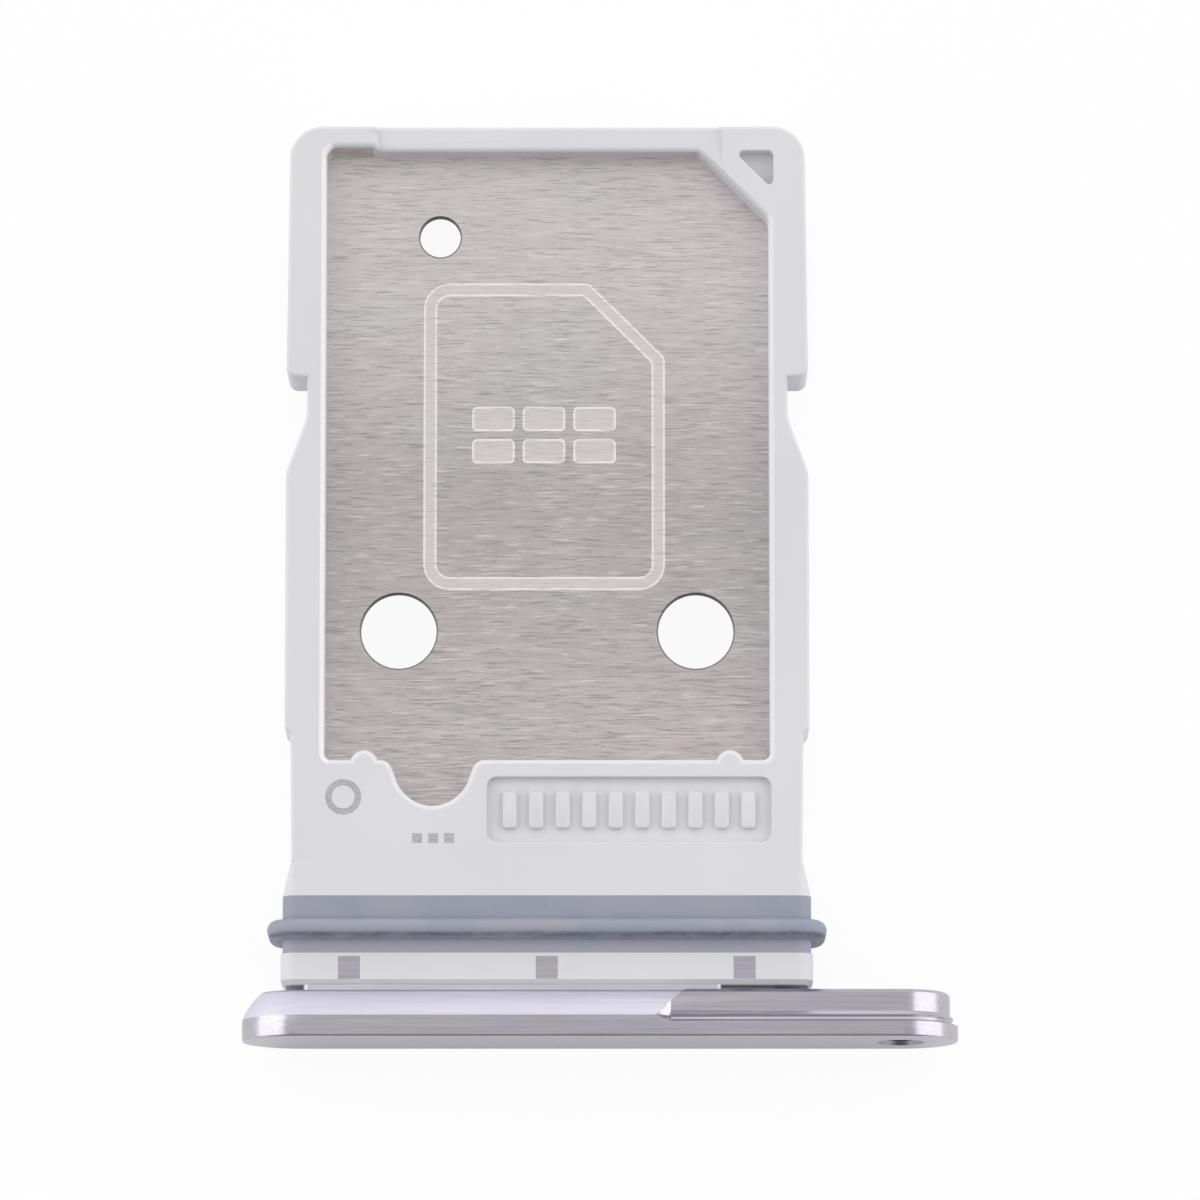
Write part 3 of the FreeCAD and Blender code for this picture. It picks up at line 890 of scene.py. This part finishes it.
light_metal = ((0.558, 0.540, 0.620, 1), (0.566, 0.549, 0.590, 1))
lit_pale_metal = ((0.690, 0.675, 0.755, 1), (0.755, 0.740, 0.820, 1))
bore_shade_colour = grey(0.12)
metal_roughness = 0.20
line_roughness = 0.06
cut_roughness = 0.45


def anodised():
    """Anodised aluminium with fine lines along the cap; the shoulder and pad are matt and painted paler, and
    painted shade darkens the pin hole's bore.
    """
    metal = Finish("anodised_aluminium", {"Metallic": 1.0})
    matt_and_lit = metal.layer("matt_and_lit")
    bore_shade = metal.layer("bore_shade")
    lines = metal.spread(metal.noise((0.5, 16, 16), detail=3, roughness=0.6), 0.3, 0.7)
    tint = metal.spread(metal.noise((0.6, 2, 2), detail=1, shift=9), 0.35, 0.65)
    lined = metal.blend(lines, metal.blend(tint, *dark_metal), metal.blend(tint, *light_metal))
    # Painted light: the shoulder and the pad are painted paler, as well as rougher.
    outside = metal.blend(matt_and_lit, lined, metal.blend(lines, *lit_pale_metal))
    # Painted shade in the pin hole's bore, and less on its chamfer.
    metal.feed("Base Color", metal.blend(bore_shade, outside, bore_shade_colour))
    metal.feed("Roughness", metal_roughness + lines * line_roughness + matt_and_lit * cut_roughness)
    metal.bump(lines, line_depth)
    return metal.material


def cap_stack(stations):
    """Closed form through stadium sections, each given as (distance from the front face, inset)."""
    form = bmesh.new()
    last = None
    for distance, inset in stations:
        height = 2 * (cap_half - inset)
        plan = rectangle(cap_length - 2 * inset, height, height / 2, cap_middle_x)
        following = outline(form, plan, upright(distance - cap_depth), cap_facets)
        if last:
            bridge(form, last, following)
        else:
            fill(form, following, up=(0, -1, 0))
        last = following
    fill(form, last, up=(0, 1, 0))
    return form


def block(plan, place, sweep):
    """Closed form of an outline that is swept along one straight line."""
    form = bmesh.new()
    ends = [outline(form, plan, place), outline(form, plan, Matrix.Translation(sweep) @ place)]
    for end in ends:
        fill(form, end, up=Vector(sweep).normalized())
    bridge(form, *ends)
    return form


def solid(form, name):
    """Turns a form into an object that others are joined with or cut by."""
    bmesh.ops.recalc_face_normals(form, faces=form.faces)
    mesh = bpy.data.meshes.new(name)
    form.to_mesh(mesh)
    form.free()
    item = bpy.data.objects.new(name, mesh)
    bpy.context.scene.collection.objects.link(item)
    return item


def combine(base, operation, *tools):
    """Joins or cuts a solid with others in one step, which uses them up."""
    group = bpy.data.collections.new(operation)
    bpy.context.scene.collection.children.link(group)
    for tool in tools:
        group.objects.link(tool)
    step = base.modifiers.new(operation, "BOOLEAN")
    step.operation = operation
    step.solver = "EXACT"
    step.use_self = True
    step.use_hole_tolerant = True
    step.operand_type = "COLLECTION"
    step.collection = group
    graph = bpy.context.evaluated_depsgraph_get()
    result = bpy.data.meshes.new_from_object(base.evaluated_get(graph))
    base.modifiers.clear()
    base.data = result
    for tool in tools:
        bpy.data.objects.remove(tool)
    bpy.data.collections.remove(group)
    return base


def space_around(core, plan):
    """Space that is cut away around a core, within a plan that reaches past the cap."""
    space = solid(block([(x, y, 0) for x, y in plan], level(-cap_length), (0, 0, 2 * cap_length)), "space")
    return combine(space, "DIFFERENCE", solid(cap_stack(core), "core"))


def shoulder_run(inset):
    """How far behind its front edge the round shoulder has come in by an inset."""
    cosine = math.cos(shoulder_start) - inset / shoulder_radius
    return shoulder_radius * (math.sqrt(1 - cosine ** 2) - math.sin(shoulder_start))


def ramp(side):
    """Space that is cut where the steps run out: a three-sided facet, and a steep wall in front of it."""
    form = bmesh.new()
    finish = block_start + overrun
    low = cap_half - tier_inset + overrun / 2
    crease_end = Vector((finish, -shoulder_depth, low))
    corners = [
        (block_start - ramp_run, -shoulder_depth, cap_half), (finish, tier_front - cap_depth, cap_half),
        (finish, crossing, low),
    ]
    reached = [form.verts.new(crease_end.lerp(Vector(corner), ramp_reach)) for corner in corners]
    tip, lip_end, far_end = reached
    crease = form.verts.new(crease_end)
    facets = [form.faces.new((tip, lip_end, crease)), form.faces.new((tip, crease, far_end))]
    raised = bmesh.ops.extrude_face_region(form, geom=facets)["geom"]
    above = [item for item in raised if isinstance(item, bmesh.types.BMVert)]
    bmesh.ops.translate(form, verts=above, vec=(0, 0, cap_half))
    bmesh.ops.scale(form, verts=form.verts, vec=(1, 1, side))
    return form


front_round = []
for step in range(front_facets + 1):
    turn = math.pi / 2 * step / front_facets
    front_round.append((front_radius * (1 - math.cos(turn)), front_radius * (1 - math.sin(turn))))
crossing = shoulder_run(tier_inset) - shoulder_depth
shoulder_finish = math.asin(math.sin(shoulder_start) + shoulder_depth / shoulder_radius)
shoulder_round = []
for step in range(shoulder_facets + 1):
    turn = shoulder_start + (shoulder_finish - shoulder_start) * step / shoulder_facets
    behind = shoulder_radius * (math.sin(turn) - math.sin(shoulder_start))
    inset = shoulder_radius * (math.cos(shoulder_start) - math.cos(turn))
    shoulder_round.append((cap_depth - shoulder_depth + behind, inset))
lead_slope = math.tan(shoulder_start)
shoulder_core = [
    (cap_depth - shoulder_depth - cut_lead, -cut_lead * lead_slope), *shoulder_round,
    (cap_depth + cut_lead, shoulder_round[-1][1] + cut_lead * math.tan(shoulder_finish)),
]
groove_inset = tier_inset - ridge_height + groove_depth
lip = tier_front + lip_width
lip_drop = groove_inset - groove_depth / 2
stepped_core = [
    (tier_front - lip_width, -lip_drop), (lip, lip_drop), (lip + groove_width / 2, groove_inset),
    (lip + groove_width, tier_inset - ridge_height), (lip + groove_width + ridge_width, tier_inset),
    (cap_depth - back_chamfer, tier_inset), (cap_depth + cut_lead, tier_inset + back_chamfer + cut_lead),
]
past = cut_lead / 2
runout_x = block_start + block_runout * (1 - past / crossing)
shoulder_front = -shoulder_depth - cut_lead / 2
shoulder_side = [
    (-cap_length, shoulder_front), (block_start + ramp_run, shoulder_front),
    (block_start + overrun, crossing - overrun), (runout_x + overrun, past), (-cap_length, past),
]
stepped_front = tier_front - cap_depth - lip_width / 2
stepped_side = [
    (block_start, stepped_front), (cap_length, stepped_front), (cap_length, past),
    (block_start - ramp_run, past), (block_start, crossing + overrun),
]
pad_plan = rectangle(*pad_size, pad_radius, pad_x)
pad = solid(block(pad_plan, upright(-shoulder_depth), (0, shoulder_depth + pad_length, 0)), "pad")
tongue_root = -shoulder_depth / 2
tongue = solid(block(tongue_plan, upright(tongue_root), (0, tongue_end_y - tongue_root, 0)), "tongue")
boss_top = deck_z - boss_sink
bosses = [solid(block(plan, level(-boss_top), (0, 0, 2 * boss_top)), "boss") for plan in boss_plans]
pin_x = cap_high.x - cap_half
pin = bmesh.new()
chamfered = [
    (pin_radius + pin_chamfer + cut_lead, -cut_lead), (pin_radius, pin_chamfer),
    (pin_radius, cap_depth + cut_lead),
]
rings = [circle(pin, pin_x, 0, radius, upright(distance - cap_depth)) for radius, distance in chamfered]
for first, second in zip(rings, rings[1:]):
    bridge(pin, first, second)
fill(pin, rings[0], up=(0, -1, 0))
fill(pin, rings[-1], up=(0, 1, 0))
pin = solid(pin, "pin")

bar = solid(cap_stack([*front_round, (cap_depth, 0)]), "bar")
combine(
    bar, "DIFFERENCE", pin, solid(ramp(-1), "ramp"), solid(ramp(1), "ramp"),
    space_around(shoulder_core, shoulder_side), space_around(stepped_core, stepped_side),
)
combine(bar, "UNION", pad, tongue, *bosses)
cap = bmesh.new()
cap.from_mesh(bar.data)
bpy.data.objects.remove(bar)
bmesh.ops.remove_doubles(cap, verts=cap.verts, dist=same_point)
cap.normal_update()
matt_and_lit_layer = cap.faces.layers.float.new("matt_and_lit")
bore_shade_layer = cap.faces.layers.float.new("bore_shade")
for face in cap.faces:
    middle = face.calc_center_median()
    on_shoulder = (
        -shoulder_depth < middle.y < -edge_line and middle.x < block_start and face.normal.y > shoulder_normal
    )
    on_pad = 0 < middle.y < pad_length
    from_pin = Vector((middle.x - pin_x, middle.z)).length
    in_pin_hole = from_pin < pin_radius + same_point
    on_chamfer = not in_pin_hole and from_pin < pin_radius + pin_chamfer
    # Painted light: the shoulder's faces, and the pad less, are painted paler as well as matt.
    face[matt_and_lit_layer] = on_shoulder + on_pad * pad_light_share
    # Painted shade darkens the pin hole's bore, and its chamfer less.
    face[bore_shade_layer] = in_pin_hole + on_chamfer * chamfer_shade_share
anodised_cap = make_piece(cap, "anodised_cap", anodised())
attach(anodised_cap, "root")
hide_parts("end_cap")

# Table, lights and camera: a plain pale table, two large soft boxes at the sides and a soft sky that is
# darker behind the viewer. The camera looks down on the tray, a little from the cap's side. Lengths here
# are in metres.
camera_tilt = math.radians(9.2)
camera_distance = 0.184
focal_length = 275.45
sensor_width = 36
nearest_seen = 0.001
farthest_seen = 20
target = Vector((0, -0.000442, 0.00197))
table_half = 3
table_grey = 0.90
table_roughness = 0.9
table_seen = 0.93
table_mirrored = 0.18
table_through = 0.5
box_distance = 0.25
box_elevation = math.radians(29)
box_size = (0.35, 0.289)
box_radiance = 1.13
sky_level = 0.655
sky_slope = 0.56

table_mesh = bmesh.new()
bmesh.ops.create_grid(table_mesh, x_segments=1, y_segments=1, size=table_half)
table = bpy.data.meshes.new("table")
table_mesh.to_mesh(table)
table_mesh.free()
table_look = {"Base Color": grey(table_grey), "Roughness": table_roughness, "Specular IOR Level": 0.0}
table_finish = Finish("pale_table", table_look)
seen = table_finish.add("ShaderNodeLightPath", {}, {}, "Is Camera Ray")
mirrored = table_finish.add("ShaderNodeLightPath", {}, {}, "Is Glossy Ray")
through = table_finish.add("ShaderNodeLightPath", {}, {}, "Is Transmission Ray")
shown = seen * table_seen + mirrored * table_mirrored + through * table_through
white = table_finish.add("ShaderNodeEmission", {}, {"Color": grey(1.0), "Strength": 1.0})
surface = Value(table_finish, table_finish.shader.outputs[0])
mixed = table_finish.add("ShaderNodeMixShader", {}, {0: shown, 1: surface, 2: white})
output = table_finish.tree.nodes["Material Output"]
table_finish.tree.links.new(mixed.socket, output.inputs["Surface"])
table.materials.append(table_finish.material)
floor = bpy.data.objects.new("table", table)
bpy.context.scene.collection.objects.link(floor)

world = bpy.data.worlds.new("studio")
world.use_nodes = True
bpy.context.scene.world = world


class Sky(Finish):
    """The studio's surroundings, made of nodes as a finish is."""

    def __init__(self, room):
        self.tree = room.node_tree
        self.shader = self.tree.nodes["Background"]


sky = Sky(world)
direction = sky.add("ShaderNodeTexCoord", {}, {}, "Generated")
along = sky.add("ShaderNodeSeparateXYZ", {}, {0: direction}, "Y")
bright = sky_level + along * sky_slope
seen = sky.add("ShaderNodeLightPath", {}, {}, "Is Camera Ray")
sky.feed("Strength", bright + seen * (1 - bright))
sky.shader.inputs["Color"].default_value = grey(1.0)

for side in (-1, 1):
    lamp = bpy.data.lights.new("soft_box", "AREA")
    lamp.shape = "RECTANGLE"
    lamp.size, lamp.size_y = box_size
    lamp.energy = math.pi * box_size[0] * box_size[1] * box_radiance
    box = bpy.data.objects.new("soft_box", lamp)
    away = Vector((side * math.cos(box_elevation), 0, math.sin(box_elevation)))
    box.location = away * box_distance
    box.rotation_euler = away.to_track_quat("Z", "Y").to_euler()
    box.visible_camera = False
    bpy.context.scene.collection.objects.link(box)

camera = bpy.data.objects.new("camera", bpy.data.cameras.new("camera"))
back = Vector((0, -math.sin(camera_tilt), math.cos(camera_tilt)))
camera.location = target + back * camera_distance
camera.rotation_euler = back.to_track_quat("Z", "Y").to_euler()
camera.data.lens = focal_length
camera.data.sensor_width = sensor_width
camera.data.clip_start = nearest_seen
camera.data.clip_end = farthest_seen
bpy.context.scene.collection.objects.link(camera)
bpy.context.scene.camera = camera
bpy.context.scene.view_settings.view_transform = "Standard"
